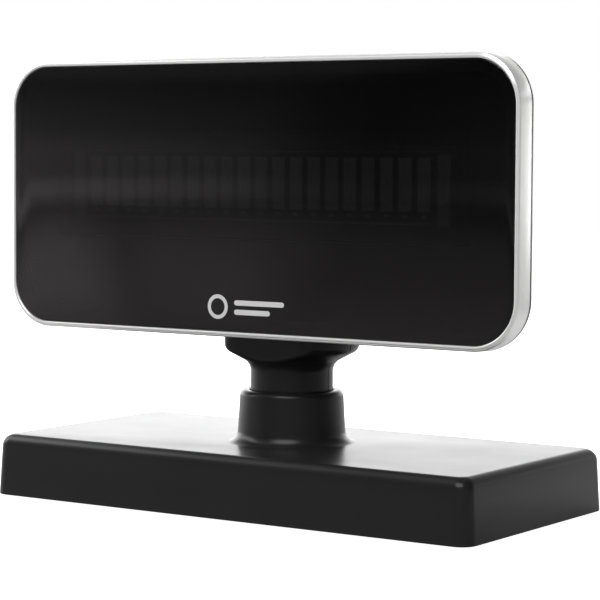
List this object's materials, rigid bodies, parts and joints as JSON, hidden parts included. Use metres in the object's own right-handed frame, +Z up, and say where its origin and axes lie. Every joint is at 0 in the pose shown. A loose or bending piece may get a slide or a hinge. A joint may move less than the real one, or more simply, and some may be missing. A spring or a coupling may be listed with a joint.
{
  "type": "customer pole display",
  "caption": "Countertop customer display: a wide dark window in a silver bezel on a short neck that swivels in a weighted black base and lets the head tilt back.",
  "frame": {"origin": "middle of the base's footprint, on the surface that the feet stand on", "axes": "+X to the reader's right along the display's length, +Y away from the reader, +Z up"},
  "size_m": [0.2242, 0.102, 0.167],
  "materials": {
    "black_plastic": "satin black moulded ABS",
    "silver_paint": "satin silver paint on ABS",
    "smoked_acrylic": "gloss dark smoked acrylic",
    "zinc_steel": "zinc plated",
    "black_steel": "black coated steel sheet",
    "cast_iron": "raw casting",
    "rubber": "matt black rubber",
    "acetal": "natural white acetal",
    "tube_glass": "clear glass",
    "phosphor": "grey grids and anodes, unlit",
    "circuit_board": "green solder mask",
    "chip_epoxy": "black epoxy",
    "capacitor_sleeve": "dark blue shrink sleeve",
    "foam": "black foam",
    "connector_nylon": "natural nylon",
    "cable_pvc": "black cable jacket"
  },
  "bodies": {
    "base": {"base_cover": "black_plastic", "base_plate": "black_steel", "foot_front_left": "rubber", "foot_front_right": "rubber", "foot_rear_left": "rubber", "foot_rear_right": "rubber", "ballast_left": "cast_iron", "ballast_right": "cast_iron", "ballast_screw_left": "zinc_steel", "ballast_screw_right": "zinc_steel", "base_screw_1": "zinc_steel", "base_screw_2": "zinc_steel", "base_screw_3": "zinc_steel", "base_screw_4": "zinc_steel", "interface_board": "circuit_board", "data_jack": "chip_epoxy", "thrust_washer": "acetal", "lead_plug": "connector_nylon"},
    "neck": {"neck_front_shell": "black_plastic", "neck_rear_shell": "black_plastic", "swivel_disc": "black_steel", "disc_screw_1": "zinc_steel", "disc_screw_2": "zinc_steel", "disc_screw_3": "zinc_steel", "wave_washer": "zinc_steel", "neck_screw_left": "zinc_steel", "neck_screw_right": "zinc_steel", "tilt_bush_left": "acetal", "tilt_bush_right": "acetal", "signal_lead": "cable_pvc"},
    "head": {"front_lens": "smoked_acrylic", "bezel": "silver_paint", "lens_gasket": "foam", "front_frame": "black_plastic", "rear_cover": "black_plastic", "tube_lid": "tube_glass", "tube_plate": "tube_glass", "character_block": "phosphor", "tube_leads": "zinc_steel", "driver_board": "circuit_board", "board_screw_1": "zinc_steel", "board_screw_2": "zinc_steel", "board_screw_3": "zinc_steel", "board_screw_4": "zinc_steel", "controller_chip": "chip_epoxy", "board_connector": "connector_nylon", "converter_transformer": "chip_epoxy", "filter_capacitor_1": "capacitor_sleeve", "filter_capacitor_2": "capacitor_sleeve", "tilt_bracket": "black_steel", "bracket_screw_left": "zinc_steel", "bracket_screw_right": "zinc_steel", "tilt_pin_left": "zinc_steel", "tilt_pin_right": "zinc_steel", "tilt_nut_left": "zinc_steel", "tilt_nut_right": "zinc_steel", "rear_cover_screw_1": "zinc_steel", "rear_cover_screw_2": "zinc_steel", "rear_cover_screw_3": "zinc_steel", "rear_cover_screw_4": "zinc_steel"}
  },
  "joints": [
    {"name": "swivel", "type": "hinge", "parent": "base", "child": "neck", "pos_m": [0, -0.0015, 0.0249], "axis": [0, 0, 1], "range_deg": [-165, 165]},
    {"name": "tilt", "type": "hinge", "parent": "neck", "child": "head", "pos_m": [0, 0, 0.078], "axis": [-1, 0, 0], "range_deg": [0, 30], "deforming": ["signal_lead"]}
  ]
}
